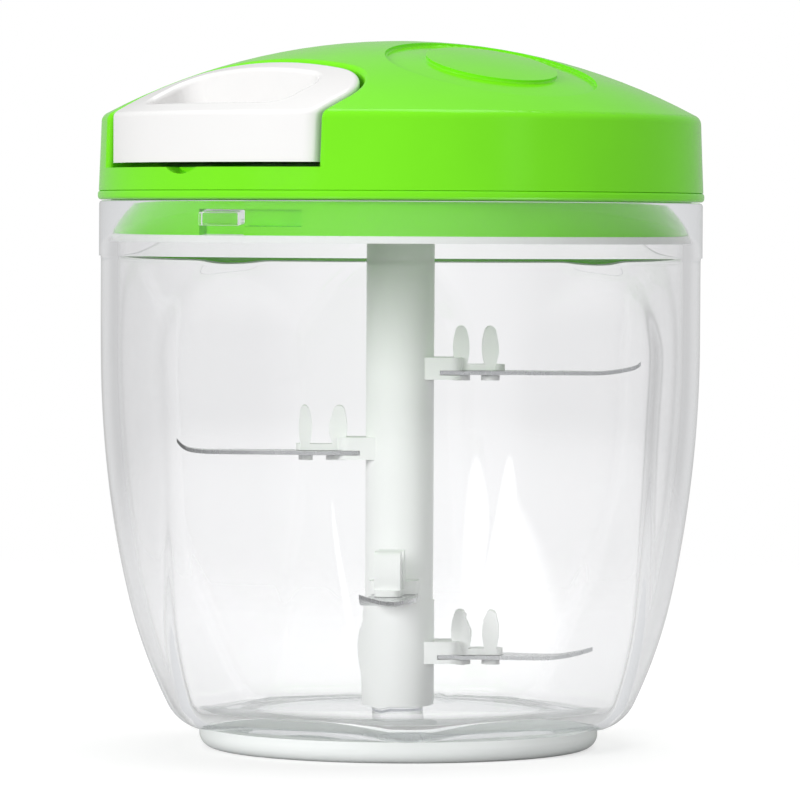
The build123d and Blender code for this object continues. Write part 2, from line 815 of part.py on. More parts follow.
with BuildPart() as lid_screws:
    for angle in screw_angles:
        place = (screw_circle * cos(radians(angle)), screw_circle * sin(radians(angle)), flange_z)
        add(screw(Plane(origin=place)))

with BuildPart() as bearing_bush:
    with BuildSketch(Plane.XY.offset(tube_z)):
        ring(neck_radius + running_fit, bush_radius)
    extrude(amount=tube_top_z - tube_z)
    with BuildSketch(Plane.XY.offset(tube_top_z)):
        ring(neck_radius + running_fit, bush_radius + bush_flange_width)
    extrude(amount=bush_flange_thickness)

with BuildPart() as blade_shaft:
    with BuildSketch(Plane.XY.offset(sleeve_top)):
        Circle(shaft_radius)
    extrude(amount=shaft_shoulder_z - sleeve_top)
    with BuildSketch(Plane.XY.offset(shaft_shoulder_z)):
        add(ring_sectors(dog_bore_radius, shaft_radius, 0, dog_span, dog_count))
    extrude(amount=dog_length)
    with BuildSketch(Plane.XY.offset(sleeve_top - spigot_length)):
        Circle(spigot_radius)
    extrude(amount=spigot_length)
    for index in range(len(blade_layout)):
        if blade_layout[index][3] == "shaft":
            add(blade_arm(index))
    with BuildSketch(Plane.XY.offset(sleeve_top - spigot_length)):
        Circle(shaft_bore_radius)
    extrude(amount=shaft_shoulder_z - sleeve_top + spigot_length, mode=Mode.SUBTRACT)

with BuildPart() as lower_sleeve:
    with BuildSketch(Plane.XY.offset(shaft_z)):
        Circle(sleeve_radius)
    extrude(amount=sleeve_top - shaft_z)
    for index in range(len(blade_layout)):
        if blade_layout[index][3] == "sleeve":
            add(blade_arm(index))
    with BuildSketch(Plane.XY.offset(sleeve_top)):
        Circle(spigot_radius + blade_fit)
    extrude(amount=-spigot_length - blade_fit, mode=Mode.SUBTRACT)
    with BuildSketch(Plane.XY.offset(shaft_z)):
        Circle(pivot_pin_radius + running_fit)
    extrude(amount=pivot_pin_length + loose_fit, mode=Mode.SUBTRACT)

pieces = {
    "foot_ring": foot_ring.part,
    "bowl": bowl.part,
    "seal_ring": seal_ring.part,
    "lid_base": lid_base.part,
    "lid_cover": lid_cover.part,
    "lid_screws": lid_screws.part,
    "bearing_bush": bearing_bush.part,
    "cord_eyelet": cord_eyelet.part,
    "pull_handle": pull_handle.part,
    "cord_knot": cord_knot.part,
    "pull_cord": pull_cord.part,
    "cord_lead": cord_lead.part,
    "cord_winding": cord_winding.part,
    "cord_reel": cord_reel.part,
    "mainspring": mainspring.part,
    "spring_cover": spring_cover.part,
    "reel_washer": reel_washer.part,
    "reel_screw": reel_screw.part,
    "blade_shaft": blade_shaft.part,
    "lower_sleeve": lower_sleeve.part,
}
for index in range(len(blade_layout)):
    pieces[f"blade_{index + 1}"] = blade_form(index)

os.makedirs("parts", exist_ok=True)
for name, piece in pieces.items():
    piece.label = name
    export_step(piece, f"parts/{name}.step")
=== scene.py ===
from math import acos, asin, atan2, cos, degrees, hypot, pi, radians, sin, sqrt, tan

import bpy
from mathutils import Matrix, Vector


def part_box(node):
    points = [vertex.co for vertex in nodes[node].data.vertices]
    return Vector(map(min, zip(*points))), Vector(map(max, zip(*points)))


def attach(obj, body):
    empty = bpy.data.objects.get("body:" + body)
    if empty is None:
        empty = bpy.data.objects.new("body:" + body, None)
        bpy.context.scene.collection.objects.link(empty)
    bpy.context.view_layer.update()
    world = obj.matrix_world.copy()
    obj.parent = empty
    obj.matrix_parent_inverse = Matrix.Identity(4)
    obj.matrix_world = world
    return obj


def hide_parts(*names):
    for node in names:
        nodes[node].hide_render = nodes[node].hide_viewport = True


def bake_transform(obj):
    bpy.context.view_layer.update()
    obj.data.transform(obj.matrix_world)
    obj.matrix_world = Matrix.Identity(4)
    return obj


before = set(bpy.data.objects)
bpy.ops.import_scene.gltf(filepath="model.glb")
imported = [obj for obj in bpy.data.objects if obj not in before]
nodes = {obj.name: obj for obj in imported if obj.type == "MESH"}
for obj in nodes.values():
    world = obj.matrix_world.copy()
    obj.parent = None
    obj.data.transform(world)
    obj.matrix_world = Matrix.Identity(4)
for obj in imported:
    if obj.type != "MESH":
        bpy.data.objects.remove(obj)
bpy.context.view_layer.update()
mm = 0.001
mergeDistance = 1e-6
print("frame loaded:", len(nodes), "nodes")


# Small helpers

def deselectAll():
    if bpy.context.mode != "OBJECT":
        bpy.ops.object.mode_set(mode="OBJECT")
    bpy.ops.object.select_all(action="DESELECT")


def makeActive(piece):
    deselectAll()
    piece.select_set(True)
    bpy.context.view_layer.objects.active = piece


def applyModifiers(piece):
    makeActive(piece)
    for modifier in list(piece.modifiers):
        bpy.ops.object.modifier_apply(modifier=modifier.name)


def smoothPiece(piece, angle=35):
    makeActive(piece)
    bpy.ops.object.shade_smooth_by_angle(angle=radians(angle))


def closeMesh(piece):
    # joined at its seams, with all faces turned outward
    makeActive(piece)
    bpy.ops.object.mode_set(mode="EDIT")
    bpy.ops.mesh.select_all(action="SELECT")
    bpy.ops.mesh.remove_doubles(threshold=mergeDistance)
    bpy.ops.mesh.normals_make_consistent(inside=False)
    bpy.ops.object.mode_set(mode="OBJECT")


def turnedPiece(name, outline, steps):
    # one vertex, extruded along the outline in the XZ plane and spun about Z
    deselectAll()
    bpy.ops.mesh.primitive_plane_add(size=0.01)
    piece = bpy.context.object
    piece.name = name
    bpy.ops.object.mode_set(mode="EDIT")
    bpy.ops.mesh.merge(type="CENTER")
    startX, startZ = outline[0]
    bpy.ops.transform.translate(value=(startX, 0, startZ))
    for (x, z), (nextX, nextZ) in zip(outline, outline[1:]):
        bpy.ops.mesh.extrude_region_move(TRANSFORM_OT_translate={"value": (nextX - x, 0, nextZ - z)})
    bpy.ops.mesh.select_all(action="SELECT")
    bpy.ops.mesh.spin(steps=steps, angle=2 * pi, center=(0, 0, 0), axis=(0, 0, 1))
    closeMesh(piece)
    return piece


def curvePiece(name, points, kind, lineSettings, runSettings):
    # a curve through points in millimetres, made a mesh
    line = bpy.data.curves.new(name, "CURVE")
    for key, value in lineSettings.items():
        setattr(line, key, value)
    run = line.splines.new(kind)
    run.points.add(len(points) - 1)
    for point, place in zip(run.points, points):
        point.co = (*(part * mm for part in place), 1)
    for key, value in runSettings.items():
        setattr(run, key, value)
    piece = bpy.data.objects.new(name, line)
    bpy.context.scene.collection.objects.link(piece)
    makeActive(piece)
    bpy.ops.object.convert(target="MESH")
    return bpy.context.object


# Node helpers

def newGroup(name, inputs, outputs):
    group = bpy.data.node_groups.new(name, "ShaderNodeTree")
    for label, kind, value in inputs:
        socket = group.interface.new_socket(label, in_out="INPUT", socket_type=kind)
        socket.default_value = value
    for label, kind in outputs:
        group.interface.new_socket(label, in_out="OUTPUT", socket_type=kind)
    start = group.nodes.new("NodeGroupInput")
    end = group.nodes.new("NodeGroupOutput")
    return group, start, end


def newMaterial(name):
    material = bpy.data.materials.new(name)
    material.use_nodes = True
    tree = material.node_tree
    shader = tree.nodes["Principled BSDF"]
    return material, tree, shader


def emptyMaterial(name):
    material = bpy.data.materials.new(name)
    material.use_nodes = True
    material.node_tree.nodes.clear()
    return material, material.node_tree


def fillSockets(tree, node, sockets):
    # another node's socket is linked, and anything else is set on the socket itself
    for key, value in sockets.items():
        if isinstance(value, bpy.types.NodeSocket):
            tree.links.new(value, node.inputs[key])
        else:
            node.inputs[key].default_value = value


def addNode(tree, kind, settings=None, sockets=None):
    node = tree.nodes.new(kind)
    for key, value in (settings or {}).items():
        setattr(node, key, value)
    fillSockets(tree, node, sockets or {})
    return node


def mathNode(tree, operation, *values):
    return addNode(tree, "ShaderNodeMath", {"operation": operation}, dict(enumerate(values))).outputs[0]


def rangeNode(tree, value, start, end, low, high, smooth=True):
    # low up to start, high from end on
    kind = "SMOOTHSTEP" if smooth else "LINEAR"
    sockets = {"Value": value, "From Min": start, "From Max": end, "To Min": low, "To Max": high}
    return addNode(tree, "ShaderNodeMapRange", {"interpolation_type": kind}, sockets).outputs["Result"]


def mixNode(tree, kind, factor, first, second):
    sockets = {"Factor": factor, "A": first, "B": second}
    return addNode(tree, "ShaderNodeMix", {"data_type": kind}, sockets).outputs["Result"]


def mixShaders(tree, factor, first, second):
    return addNode(tree, "ShaderNodeMixShader", sockets={0: factor, 1: first, 2: second}).outputs[0]


def noiseNode(tree, place, scale, detail=2.0):
    sockets = {"Vector": place, "Scale": scale, "Detail": detail}
    return addNode(tree, "ShaderNodeTexNoise", sockets=sockets).outputs["Fac"]


def bumpNode(tree, height, strength, depth):
    sockets = {"Height": height, "Strength": strength, "Distance": depth}
    return addNode(tree, "ShaderNodeBump", sockets=sockets).outputs["Normal"]


def placeOn(tree, kind="Object"):
    return addNode(tree, "ShaderNodeTexCoord").outputs[kind]


# Moulded plastics

mouldedSkin = {
    "driftScale": 28.0,
    "driftDetail": 3.0,
    "driftLow": 0.3,
    "driftHigh": 0.7,
    "smearScale": 90.0,
    "smearDetail": 6.0,
    "depth": 0.0002,
}


def makeMouldedGroup(skin):
    # colour drift, gloss drift and a faint skin, as on injection-moulded plastic
    group, start, end = newGroup(
        "mouldedSkin",
        [
            ("Colour", "NodeSocketColor", (1, 1, 1, 1)),
            ("Drift", "NodeSocketFloat", 0.05),
            ("Gloss", "NodeSocketFloat", 0.2),
            ("Gloss Drift", "NodeSocketFloat", 0.08),
            ("Skin Scale", "NodeSocketFloat", 900.0),
        ],
        [
            ("Colour", "NodeSocketColor"),
            ("Roughness", "NodeSocketFloat"),
            ("Height", "NodeSocketFloat"),
        ],
    )
    given = start.outputs
    place = placeOn(group)
    drift = noiseNode(group, place, skin["driftScale"], skin["driftDetail"])
    level = rangeNode(group, drift, skin["driftLow"], skin["driftHigh"], -1.0, 1.0, smooth=False)
    amount = mathNode(group, "MULTIPLY_ADD", level, given["Drift"], 1.0)
    tint = addNode(
        group, "ShaderNodeVectorMath", {"operation": "SCALE"}, {0: given["Colour"], "Scale": amount}
    )
    smears = noiseNode(group, place, skin["smearScale"], skin["smearDetail"])
    gloss = mathNode(group, "MULTIPLY_ADD", smears, given["Gloss Drift"], given["Gloss"])
    grain = noiseNode(group, place, given["Skin Scale"])
    fillSockets(group, end, {"Colour": tint.outputs[0], "Roughness": gloss, "Height": grain})
    return group


mouldedGroup = makeMouldedGroup(mouldedSkin)


def mouldedPlastic(name, look):
    material, tree, shader = newMaterial(name)
    skin = addNode(
        tree,
        "ShaderNodeGroup",
        {"node_tree": mouldedGroup},
        {
            "Colour": (*look["colour"], 1),
            "Drift": look["drift"],
            "Gloss": look["gloss"],
            "Gloss Drift": look["glossDrift"],
            "Skin Scale": look["skinScale"],
        },
    )
    sockets = {
        "Base Color": skin.outputs["Colour"],
        "Roughness": skin.outputs["Roughness"],
        "Normal": bumpNode(tree, skin.outputs["Height"], look["skin"], mouldedSkin["depth"]),
    }
    fillSockets(tree, shader, sockets)
    fillSockets(tree, shader, look.get("sockets", {}))
    return material


lidGreenLook = {
    "colour": (0.175, 0.74, 0.008),
    "drift": 0.035,
    "gloss": 0.14,
    "glossDrift": 0.10,
    "skinScale": 1400.0,
    "skin": 0.05,
    "sockets": {"Specular IOR Level": 0.25},
}
handleWhiteLook = {
    "colour": (0.81, 0.805, 0.80),
    "drift": 0.004,
    "gloss": 0.22,
    "glossDrift": 0.05,
    "skinScale": 1200.0,
    "skin": 0.05,
    "sockets": {"Coat Weight": 0.15, "Coat Roughness": 0.1},
}
shaftWhiteLook = {
    "colour": (0.90, 0.915, 0.90),
    "drift": 0.02,
    "gloss": 0.3,
    "glossDrift": 0.12,
    "skinScale": 1500.0,
    "skin": 0.08,
}
mechanismWhiteLook = {
    "colour": (0.70, 0.70, 0.67),
    "drift": 0.03,
    "gloss": 0.38,
    "glossDrift": 0.15,
    "skinScale": 1500.0,
    "skin": 0.1,
}
lidGreen = mouldedPlastic("lidGreen", lidGreenLook)
handleWhite = mouldedPlastic("handleWhite", handleWhiteLook)
shaftWhite = mouldedPlastic("shaftWhite", shaftWhiteLook)
mechanismWhite = mouldedPlastic("mechanismWhite", mechanismWhiteLook)


# Clear plastic

def clearPlastic(name, look):
    # a plain transmissive shader with a little waviness and faint absorption, and a painted pale glow for
    # rays caught inside the wall
    material, tree, shader = newMaterial(name)
    place = placeOn(tree)
    smears = noiseNode(tree, place, look["smearScale"], look["smearDetail"])
    waves = noiseNode(tree, place, look["waveScale"])
    sockets = {
        "Base Color": (*look["colour"], 1),
        "Roughness": mathNode(tree, "MULTIPLY_ADD", smears, look["glossDrift"], look["gloss"]),
        "Normal": bumpNode(tree, waves, look["wave"], look["waveDepth"]),
        "Transmission Weight": 1.0,
        "IOR": look["ior"],
    }
    fillSockets(tree, shader, sockets)
    absorb = addNode(
        tree,
        "ShaderNodeVolumeAbsorption",
        sockets={"Color": (*look["absorbColour"], 1), "Density": look["absorbDensity"]},
    )
    # lamps shine through the wall
    path = addNode(tree, "ShaderNodeLightPath").outputs
    lampLight = addNode(tree, "ShaderNodeBsdfTransparent", sockets={"Color": (*look["lampColour"], 1)})
    lit = mixShaders(tree, path["Is Shadow Ray"], shader.outputs[0], lampLight.outputs[0])
    # rays caught for long inside the wall end in a painted pale glow, an emission that stands in for the
    # light they would bring
    caught = mathNode(tree, "GREATER_THAN", path["Glossy Depth"], look["caughtDepth"])
    paintedGlow = addNode(tree, "ShaderNodeEmission", sockets={"Color": (*look["paintedGlowColour"], 1)})
    whole = mixShaders(tree, caught, lit, paintedGlow.outputs[0])
    end = tree.nodes["Material Output"]
    fillSockets(tree, end, {"Surface": whole, "Volume": absorb.outputs["Volume"]})
    return material


bowlClearLook = {
    "colour": (0.985, 0.985, 0.99),
    "gloss": 0.0,
    "glossDrift": 0.03,
    "smearScale": 60.0,
    "smearDetail": 4.0,
    "waveScale": 35.0,
    "wave": 0.04,
    "waveDepth": 0.001,
    "ior": 1.57,
    "absorbColour": (0.79, 0.80, 0.815),
    "absorbDensity": 24.0,
    "lampColour": (1.0, 1.0, 1.0),
    # painted glow: rays caught deeper than this in the wall end in a pale emission, not in the plastic's
    # colour
    "caughtDepth": 2.5,
    "paintedGlowColour": (0.78, 0.79, 0.80),
}
bowlClear = clearPlastic("bowlClear", bowlClearLook)


# Soft plastics

softSkin = {"cloudScale": 120.0, "cloudDetail": 4.0, "glossDrift": 0.15, "ior": 1.42}


def softPlastic(name, look):
    # translucent grip or seal with a milky body
    material, tree, shader = newMaterial(name)
    cloud = noiseNode(tree, placeOn(tree), softSkin["cloudScale"], softSkin["cloudDetail"])
    sockets = {
        "Base Color": mixNode(tree, "RGBA", cloud, (*look["colour"], 1), (*look["cloud"], 1)),
        "Roughness": mathNode(tree, "MULTIPLY_ADD", cloud, softSkin["glossDrift"], look["gloss"]),
        "Transmission Weight": look["transmission"],
        "IOR": softSkin["ior"],
    }
    fillSockets(tree, shader, sockets)
    return material


footGripLook = {
    "colour": (0.92, 0.95, 0.94),
    "cloud": (0.94, 0.965, 0.955),
    "gloss": 0.16,
    "transmission": 0.1,
}
sealSiliconeLook = {
    "colour": (0.93, 0.95, 0.94),
    "cloud": (0.90, 0.92, 0.91),
    "gloss": 0.35,
    "transmission": 0.05,
}
footGrip = softPlastic("footGrip", footGripLook)
sealSilicone = softPlastic("sealSilicone", sealSiliconeLook)


# Metals

metalSkin = {"markScale": 400.0, "markDetail": 5.0, "glossDrift": 0.18, "mark": 0.12, "markDepth": 0.0001}


def brushedMetal(name, look):
    # metal with grinding marks that run along one direction
    material, tree, shader = newMaterial(name)
    sockets = {"Vector": placeOn(tree), "Scale": look["grain"]}
    along = addNode(tree, "ShaderNodeMapping", sockets=sockets).outputs["Vector"]
    marks = noiseNode(tree, along, metalSkin["markScale"], metalSkin["markDetail"])
    sockets = {
        "Base Color": mixNode(tree, "RGBA", marks, (*look["dark"], 1), (*look["light"], 1)),
        "Roughness": mathNode(tree, "MULTIPLY_ADD", marks, metalSkin["glossDrift"], look["gloss"]),
        "Normal": bumpNode(tree, marks, metalSkin["mark"], metalSkin["markDepth"]),
        "Metallic": 1.0,
    }
    fillSockets(tree, shader, sockets)
    return material


bladeSteelLook = {
    "dark": (0.40, 0.41, 0.42),
    "light": (0.58, 0.59, 0.60),
    "gloss": 0.18,
    "grain": (1, 1, 0.1),
}
springSteelLook = {
    "dark": (0.16, 0.18, 0.22),
    "light": (0.28, 0.30, 0.34),
    "gloss": 0.25,
    "grain": (1, 1, 6),
}
screwSteelLook = {
    "dark": (0.55, 0.55, 0.56),
    "light": (0.72, 0.72, 0.73),
    "gloss": 0.15,
    "grain": (1, 1, 1),
}
eyeletBrassLook = {
    "dark": (0.55, 0.40, 0.16),
    "light": (0.78, 0.60, 0.28),
    "gloss": 0.15,
    "grain": (1, 4, 1),
}
bladeSteel = brushedMetal("bladeSteel", bladeSteelLook)
springSteel = brushedMetal("springSteel", springSteelLook)
screwSteel = brushedMetal("screwSteel", screwSteelLook)
eyeletBrass = brushedMetal("eyeletBrass", eyeletBrassLook)


# Cord fibre

cordLook = {
    "colour": (0.86, 0.86, 0.83),
    "darkShare": 0.72,
    "stretch": (1.0, 40.0, 1.0),
    "fibreScale": 2.0,
    "fibreDetail": 4.0,
    "fibre": 0.5,
    "fibreDepth": 0.0002,
    "gloss": 0.75,
    "sheen": 0.2,
}


def cordFibre(name, look):
    # thin fibres that run along the cord, by its own UV map
    material, tree, shader = newMaterial(name)
    sockets = {"Vector": placeOn(tree, "UV"), "Scale": look["stretch"]}
    along = addNode(tree, "ShaderNodeMapping", sockets=sockets).outputs["Vector"]
    fibres = noiseNode(tree, along, look["fibreScale"], look["fibreDetail"])
    dark = (*[look["darkShare"] * part for part in look["colour"]], 1)
    sockets = {
        "Base Color": mixNode(tree, "RGBA", fibres, dark, (*look["colour"], 1)),
        "Normal": bumpNode(tree, fibres, look["fibre"], look["fibreDepth"]),
        "Roughness": look["gloss"],
        "Sheen Weight": look["sheen"],
    }
    fillSockets(tree, shader, sockets)
    return material


cordWhite = cordFibre("cordWhite", cordLook)
print("materials made")


def paintNodes(finish, *names):
    for name in names:
        nodes[name].data.materials.clear()
        nodes[name].data.materials.append(finish)


paintNodes(lidGreen, "lid_base", "lid_cover")
paintNodes(handleWhite, "pull_handle")
paintNodes(shaftWhite, "blade_shaft", "lower_sleeve")
paintNodes(mechanismWhite, "cord_reel", "spring_cover", "bearing_bush")
paintNodes(bladeSteel, "blade_1", "blade_2", "blade_3", "blade_4")
paintNodes(screwSteel, "lid_screws", "reel_screw", "reel_washer")
paintNodes(eyeletBrass, "cord_eyelet")
paintNodes(footGrip, "foot_ring")
paintNodes(sealSilicone, "seal_ring")


# Clear bowl

bowlSizes = {
    "body": ((62.9, 85.0), (57.0, 30.9), (50.0, 9.9), (43.5, 4.5)),  # radius and height, from the top down
    "petal": ((61.0, 80.0), (54.0, 30.9), (45.5, 9.9), (37.5, 4.5)),
    "petalArch": (63.0, 101.5),
    "petalFlatness": 90.0,
    "petalCount": 5,
    "petalAngle": -78.0,
    "edgeRound": 0.5,
    "wall": 3.6,
    "petalWall": 3.3,  # a little thinner where a petal is deepest
    "shoulderRadius": 63.0,
    "bandHeight": 103.0,
    "rimRadius": 63.3,
    "rimHeight": 114.5,
    "rimRound": 0.6,
    "roundShare": 0.3,  # where the middle of a rounded edge lies
    "boreRadius": 61.3,
    "ledgeHeight": 105.9,
    "ribRadius": 34.9,
    "ribWidth": 2.2,
    "ribDrop": 2.0,
    "bossRadius": 5.2,
    "bossHeight": 0.9,
    "pinRadius": 2.4,
    "pinLength": 9.0,
    "pinEdge": 0.8,
    "lugCount": 3,
    "lugAngle": -81.0,
    "lugSpan": 9.4,
    "lugHeight": 2.7,
    "lugReach": 1.9,
    "lugDrop": 2.5,
    "lugRound": 0.35,
    "lugCuts": 7,
    "lugRoundSteps": 3,
    "arcSteps": 22,
    "turnSteps": 480,
}


def insetOutline(points, inset):
    # the same chain of tangent arcs, drawn in by a wall
    slope = 0.0
    moved = [(points[0][0] - inset, points[0][1])]
    for (upperRadius, upperHeight), (radius, height) in zip(points, points[1:]):
        slope = 2 * atan2(upperRadius - radius, upperHeight - height) - slope
        moved.append((radius - inset * cos(slope), height + inset * sin(slope)))
    return moved


def outlineRadius(points, height):
    # radius at a height on a chain of tangent arcs that starts straight down
    slope = 0.0
    upperRadius, upperHeight = points[0]
    if height >= upperHeight:
        return upperRadius
    for radius, lowHeight in points[1:]:
        nextSlope = 2 * atan2(upperRadius - radius, upperHeight - lowHeight) - slope
        if height >= lowHeight or (radius, lowHeight) == points[-1]:
            bend = hypot(upperRadius - radius, upperHeight - lowHeight) / (2 * sin((nextSlope - slope) / 2))
            here = asin(max(-1.0, min(1.0, sin(slope) + (upperHeight - height) / bend)))
            return upperRadius + bend * (cos(here) - cos(slope))
        slope, upperRadius, upperHeight = nextSlope, radius, lowHeight


def outlineHeights(points, steps):
    heights = []
    for (_, upper), (_, lower) in zip(points, points[1:]):
        heights += [upper + (lower - upper) * step / steps for step in range(steps)]
    return heights + [points[-1][1]]


def petalRadius(points, arch, height):
    # radius of the petal's own outline: arcs below its waist, one arc up to the arch, straight above
    waistRadius, waistHeight = points[0]
    archRadius, archHeight = arch
    if height <= waistHeight:
        return outlineRadius(points, height)
    lean = 2 * atan2(archRadius - waistRadius, archHeight - waistHeight)
    if height >= archHeight:
        return archRadius + (height - archHeight) * tan(lean)
    bend = hypot(archRadius - waistRadius, archHeight - waistHeight) / (2 * sin(lean / 2))
    return waistRadius + bend * (1 - cos(asin((height - waistHeight) / bend)))


def softMin(first, second, width):
    share = max(width - abs(first - second), 0.0) / width
    return min(first, second) - share * share * width / 4


def pressPetals(bowl, sizes):
    # each vertex of the wall, outside and inside, moves in to the flatter petal where that lies deeper
    flat = sizes["petalFlatness"]
    edge = sizes["edgeRound"]
    wall = sizes["petalWall"]
    archRadius, archHeight = sizes["petalArch"]
    period = 2 * pi / sizes["petalCount"]
    outside = (sizes["petal"], sizes["petalArch"])
    inside = (insetOutline(sizes["petal"], wall), (archRadius - wall, archHeight))
    ribOut = sizes["ribRadius"] + sizes["ribWidth"] / 2
    for vertex in bowl.data.vertices:
        radius = hypot(vertex.co.x, vertex.co.y) / mm
        height = vertex.co.z / mm
        if radius < ribOut + edge or height > sizes["bandHeight"] - edge:
            continue
        isInside = radius < outlineRadius(sizes["body"], height) - sizes["wall"] / 2
        petal, arch = inside if isInside else outside
        angle = atan2(vertex.co.y, vertex.co.x) - radians(sizes["petalAngle"])
        offset = (angle + period / 2) % period - period / 2
        reach = petalRadius(petal, arch, height) + flat
        pressed = sqrt(reach * reach - (flat * sin(offset)) ** 2) - flat * cos(offset)
        scale = softMin(radius, pressed, edge) / radius
        vertex.co.x *= scale
        vertex.co.y *= scale


def evenSteps(start, end, steps):
    # the points between two ends, without them
    return [start + (end - start) * step / steps for step in range(1, steps)]


def buildBowl(sizes):
    body = sizes["body"]
    inner = insetOutline(body, sizes["wall"])
    bodyRadius, bodyHeight = body[0]
    innerRadius, innerHeight = inner[0]
    base, floor = body[-1][1], inner[-1][1]
    rib = base - sizes["ribDrop"]
    ribIn = sizes["ribRadius"] - sizes["ribWidth"] / 2
    ribOut = sizes["ribRadius"] + sizes["ribWidth"] / 2
    band, ledge, top = sizes["bandHeight"], sizes["ledgeHeight"], sizes["rimHeight"]
    rim, bore = sizes["rimRadius"], sizes["boreRadius"]
    edge = sizes["rimRound"]
    corner = edge * sizes["roundShare"]
    boss = floor + sizes["bossHeight"]
    pin, pinEdge = sizes["pinRadius"], sizes["pinEdge"]
    pinTop = boss + sizes["pinLength"]
    steps = sizes["arcSteps"]
    outline = [(0, base), (ribIn, base), (ribIn, rib), (ribOut, rib), (ribOut, base)]
    outline += [(outlineRadius(body, height), height) for height in reversed(outlineHeights(body, steps))]
    outline += [(bodyRadius, height) for height in evenSteps(bodyHeight, band, steps)]
    outline += [(sizes["shoulderRadius"], band), (rim, band)]
    outline += [(rim, top - edge), (rim - corner, top - corner), (rim - edge, top)]
    outline += [(bore + edge, top), (bore + corner, top - corner), (bore, top - edge)]
    outline += [(bore, ledge), (innerRadius, ledge)]
    outline += [(innerRadius, height) for height in evenSteps(ledge, innerHeight, steps)]
    outline += [(outlineRadius(inner, height), height) for height in outlineHeights(inner, steps)]
    outline += [(sizes["bossRadius"], floor), (sizes["bossRadius"], boss), (pin, boss)]
    outline += [(pin, pinTop - pinEdge), (pin - pinEdge, pinTop), (0, pinTop)]
    scaled = [(radius * mm, height * mm) for radius, height in outline]
    bowl = turnedPiece("bowlShell", scaled, sizes["turnSteps"])
    pressPetals(bowl, sizes)
    return bowl


def buildLug(sizes, angle):
    # one bayonet lug: a block bent to the bore, its root in the rim wall
    inner = sizes["boreRadius"] - sizes["lugReach"]
    outer = (sizes["boreRadius"] + sizes["rimRadius"]) / 2
    deselectAll()
    bpy.ops.mesh.primitive_cube_add(size=1)
    lug = bpy.context.object
    bpy.ops.object.mode_set(mode="EDIT")
    bpy.ops.mesh.select_all(action="SELECT")
    bpy.ops.mesh.subdivide(number_cuts=sizes["lugCuts"])
    bpy.ops.object.mode_set(mode="OBJECT")
    middle = sizes["rimHeight"] - sizes["lugDrop"] - sizes["lugHeight"] / 2
    for vertex in lug.data.vertices:
        radius = (inner + outer) / 2 + vertex.co.x * (outer - inner)
        turn = radians(angle + vertex.co.y * sizes["lugSpan"])
        height = middle + vertex.co.z * sizes["lugHeight"]
        vertex.co = (radius * cos(turn) * mm, radius * sin(turn) * mm, height * mm)
    edges = lug.modifiers.new("edges", "BEVEL")
    edges.width = sizes["lugRound"] * mm
    edges.segments = sizes["lugRoundSteps"]
    edges.limit_method = "ANGLE"
    applyModifiers(lug)
    return lug


bowl = buildBowl(bowlSizes)
lugTurn = 360 / bowlSizes["lugCount"]
lugs = [
    buildLug(bowlSizes, bowlSizes["lugAngle"] + lugTurn * index) for index in range(bowlSizes["lugCount"])
]
makeActive(bowl)
for lug in lugs:
    lug.select_set(True)
bpy.ops.object.join()
smoothPiece(bowl)
bowl.data.materials.append(bowlClear)
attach(bowl, "bowl")
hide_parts("bowl")
print("bowl built:", len(bowl.data.polygons), "faces")


# Cord: its turns on the reel, its way to the eyelet, the stretch to the handle and the knot

cordRadius = 0.75
cordSizes = {
    "radius": cordRadius,
    "height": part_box("pull_cord")[0].z / mm + cordRadius,
    "tubeSides": 5,
    "tubeSteps": 4,
    "smoothAngle": 50,
    "windingRadius": 21.0,
    "step": 1.0,
    "halfTurns": 8,
    "perHalf": 12,
    "bendDistance": 31.0,
    "leadStops": (0.5, 0.85),
    "wallBack": 34.6,
    "handleBack": 35.5,
    "knotStart": 37.8,
    "knotEnd": 41.0,
    "knotRadius": 2.2,
    "knotSteps": 36,
    "knotOverlap": 1,
    "stretchSteps": 40,
}


def cordTube(name, points, sizes, closed=False):
    # a smooth line through the route, given its thickness
    lineSettings = {
        "dimensions": "3D",
        "bevel_depth": sizes["radius"] * mm,
        "bevel_resolution": sizes["tubeSides"],
        "resolution_u": sizes["tubeSteps"],
        "use_fill_caps": True,
    }
    runSettings = {"order_u": 3, "use_endpoint_u": not closed, "use_cyclic_u": closed}
    tube = curvePiece(name, points, "NURBS", lineSettings, runSettings)
    closeMesh(tube)
    smoothPiece(tube, sizes["smoothAngle"])
    tube.data.materials.append(cordWhite)
    return tube


def tangentPoint(sizes, radius, angle, along):
    # the cord runs straight on from its circle for a stretch
    turn = radians(angle)
    x = radius * cos(turn) - along * sin(turn)
    y = radius * sin(turn) + along * cos(turn)
    return (x, y, sizes["height"])


def windingPoints(sizes, leadAngle):
    # half circles that spiral in from the lead, as the cord lies in the reel's groove
    points = []
    turn = radians(leadAngle)
    for index in range(sizes["halfTurns"]):
        shift = sizes["step"] * (index % 2)
        radius = sizes["windingRadius"] - index * sizes["step"]
        for step in range(sizes["perHalf"]):
            angle = turn - pi * index - pi * step / sizes["perHalf"]
            x = radius * cos(angle) - shift * cos(turn)
            y = radius * sin(angle) - shift * sin(turn)
            points.append((x, y, sizes["height"]))
    inner = sizes["windingRadius"] - sizes["halfTurns"] * sizes["step"]
    outerEnd = tangentPoint(sizes, sizes["windingRadius"], leadAngle, 2 * sizes["radius"])
    innerEnds = [tangentPoint(sizes, inner, leadAngle, along) for along in (0, -2 * sizes["radius"])]
    return [outerEnd, *points, *innerEnds]


def knotPoints(sizes):
    # the cord's own end, tied in a trefoil inside the counterbore
    middle = (sizes["knotStart"] + sizes["knotEnd"]) / 2
    loop = (sizes["knotRadius"] - sizes["radius"]) / 3
    deep = (sizes["knotEnd"] - sizes["knotStart"]) / 2 - sizes["radius"]
    points = []
    for step in range(sizes["knotSteps"]):
        turn = 2 * pi * step / sizes["knotSteps"]
        x = loop * (sin(turn) + 2 * sin(2 * turn))
        z = loop * (cos(turn) - 2 * cos(2 * turn))
        points.append((x, -middle - deep * sin(3 * turn), sizes["height"] + z))
    return points


